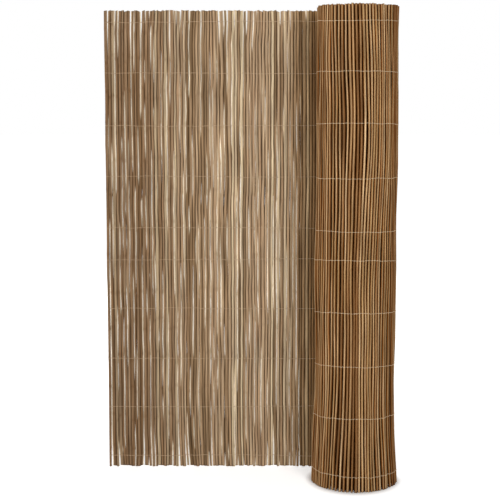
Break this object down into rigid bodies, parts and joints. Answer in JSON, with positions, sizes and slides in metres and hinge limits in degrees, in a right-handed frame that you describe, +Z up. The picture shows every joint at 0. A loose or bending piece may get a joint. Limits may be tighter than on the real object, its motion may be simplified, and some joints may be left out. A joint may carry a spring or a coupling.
{
  "type": "willow screening fence",
  "caption": "Willow screening fence of upright rods bound by rows of thin wire, standing as a partly unrolled roll with a flat run beside it.",
  "frame": {"origin": "middle of the footprint's box, on the floor", "axes": "+Z up along the rods, +X from the free edge of the flat run towards the roll, +Y from the front towards the back of the flat run"},
  "size_m": [0.6287, 0.1762, 1],
  "materials": {
    "willow": "matte bark",
    "binding_wire": "satin"
  },
  "bodies": {
    "root": {"flat_run": "willow", "roll": "willow", "front_wire_01": "binding_wire", "front_wire_02": "binding_wire", "front_wire_03": "binding_wire", "front_wire_04": "binding_wire", "front_wire_05": "binding_wire", "front_wire_06": "binding_wire", "front_wire_07": "binding_wire", "front_wire_08": "binding_wire", "front_wire_09": "binding_wire", "front_wire_10": "binding_wire", "back_wire_01": "binding_wire", "back_wire_02": "binding_wire", "back_wire_03": "binding_wire", "back_wire_04": "binding_wire", "back_wire_05": "binding_wire", "back_wire_06": "binding_wire", "back_wire_07": "binding_wire", "back_wire_08": "binding_wire", "back_wire_09": "binding_wire", "back_wire_10": "binding_wire"}
  },
  "joints": []
}
